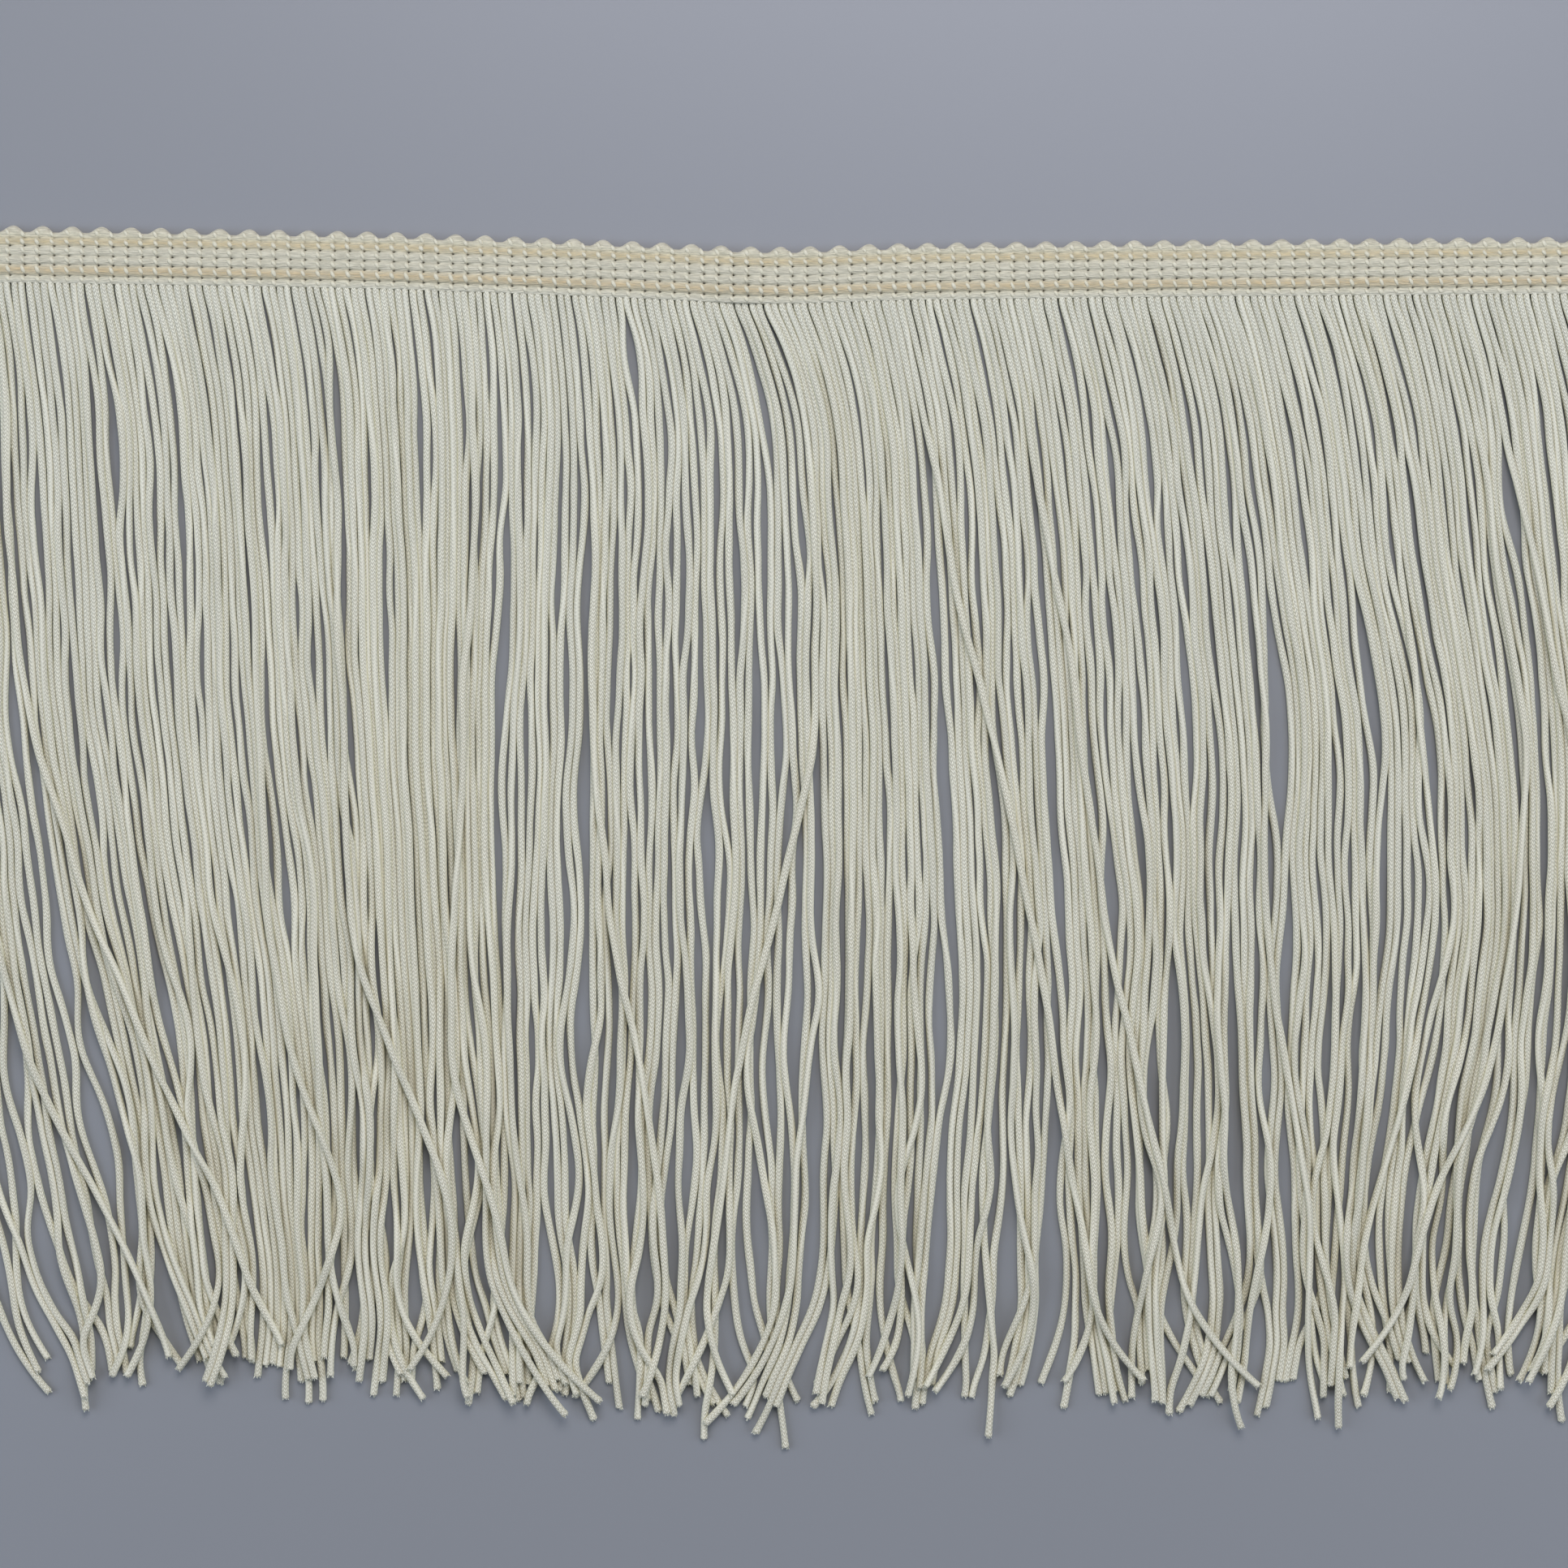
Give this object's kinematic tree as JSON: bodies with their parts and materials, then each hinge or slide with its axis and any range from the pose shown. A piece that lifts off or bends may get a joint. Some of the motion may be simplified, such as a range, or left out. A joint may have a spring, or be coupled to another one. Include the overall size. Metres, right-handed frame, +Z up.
{
  "type": "fringe trim",
  "caption": "Cut length of ivory chainette fringe trim lying flat, with a narrow knitted heading, a picot edge and long knitted cords.",
  "frame": {"origin": "middle of the flat back of the heading", "axes": "+X along the heading, -Y down the skirt, +Z up from the surface that the trim lies on"},
  "size_m": [0.3132, 0.2142, 0.0036],
  "materials": {
    "heading yarn": "warp-knitted spun polyester, soft sheen, ivory rows with two beige rows",
    "chainette cord": "tubular chain knitted from textured filament polyester, soft sheen, ivory"
  },
  "bodies": {
    "root": {"heading": "heading yarn", "skirt_bay_1": "chainette cord", "skirt_bay_2": "chainette cord", "skirt_bay_3": "chainette cord", "skirt_bay_4": "chainette cord"}
  },
  "joints": []
}
